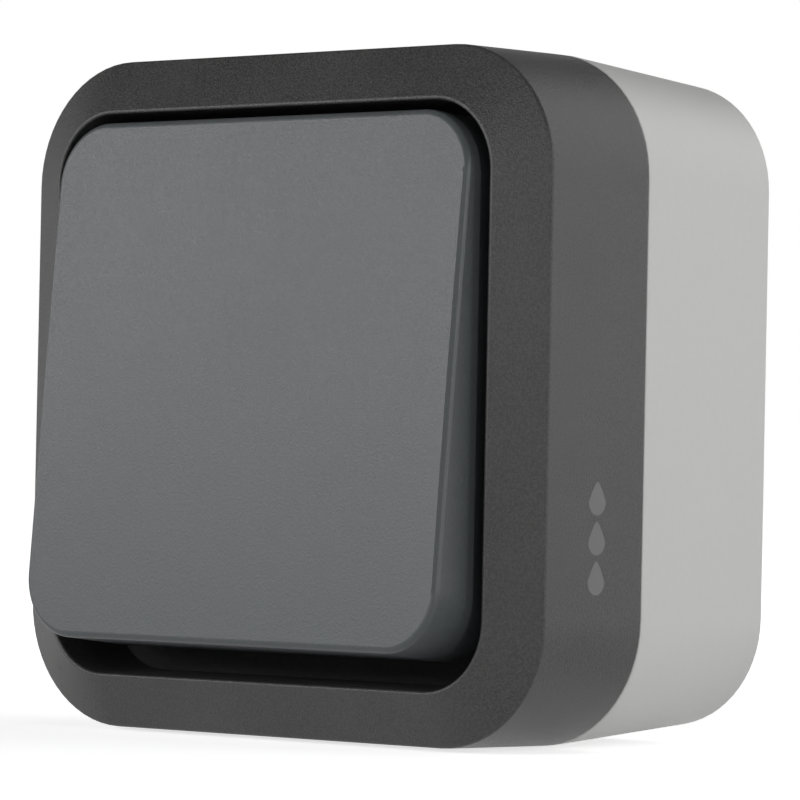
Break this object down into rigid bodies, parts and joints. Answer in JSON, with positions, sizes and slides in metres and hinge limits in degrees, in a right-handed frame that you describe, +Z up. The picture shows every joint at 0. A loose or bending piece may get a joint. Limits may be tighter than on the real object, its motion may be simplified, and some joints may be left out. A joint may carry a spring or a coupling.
{
  "type": "outdoor weatherproof switch",
  "caption": "Surface-mounted weatherproof light switch: square rear box, cover frame with a sloping rim and a crowned rocker over a see-saw contact insert.",
  "frame": {"origin": "middle of the rear box's wall face", "axes": "+X to the right, +Y into the wall, +Z up; the rocker faces the room along -Y"},
  "size_m": [0.066, 0.0439, 0.066],
  "materials": {
    "box_plastic": "smooth matt light grey",
    "frame_plastic": "fine grained anthracite",
    "rocker_plastic": "fine grained slate grey",
    "inner_plastic": "smooth natural white",
    "base_plastic": "smooth pale grey",
    "seal_rubber": "smooth black",
    "entry_rubber": "smooth light grey",
    "contact_brass": "pressed",
    "contact_silver": "pressed",
    "screw_steel": "zinc plated",
    "spring_steel": "drawn wire"
  },
  "bodies": {
    "housing": {"rear_box": "box_plastic", "cable_grommet_top": "entry_rubber", "cable_grommet_bottom": "entry_rubber", "box_gasket": "seal_rubber", "cover_frame": "frame_plastic", "frame_screws": "screw_steel", "screw_seals": "seal_rubber", "rocker_seal": "seal_rubber", "seal_ring": "inner_plastic", "switch_base": "base_plastic", "bearing_plate": "inner_plastic", "plate_rivets": "screw_steel", "insert_screws": "screw_steel", "common_strip": "contact_brass", "contact_strip_lower": "contact_brass", "contact_strip_upper": "contact_brass", "fixed_tips": "contact_silver", "terminal_clamps": "screw_steel", "terminal_screws": "screw_steel"},
    "rocker": {"rocker": "rocker_plastic", "rocker_yoke": "inner_plastic", "plunger_spring": "spring_steel"},
    "plunger": {"drive_plunger": "inner_plastic"},
    "lever": {"contact_lever": "contact_brass", "moving_tips": "contact_silver"}
  },
  "joints": [
    {"name": "rocker_tilt", "type": "hinge", "parent": "housing", "child": "rocker", "pos_m": [0, -0.0264, 0], "axis": [1, 0, 0], "range_deg": [0, 10], "deforming": ["rocker_seal"]},
    {"name": "plunger_slide", "type": "slide", "parent": "rocker", "child": "plunger", "axis": [0, -0.9962, 0.0872], "range_m": [0, 0.0008], "stiffness_N_per_m": 600, "springref_m": -0.003, "deforming": ["plunger_spring"]},
    {"name": "lever_tilt", "type": "hinge", "parent": "housing", "child": "lever", "pos_m": [0, -0.0129, 0], "axis": [1, 0, 0], "range_deg": [-14, 0]}
  ],
  "couplings": [
    {"joint": "lever_tilt", "follows": "rocker_tilt", "ratio": -1.4}
  ]
}
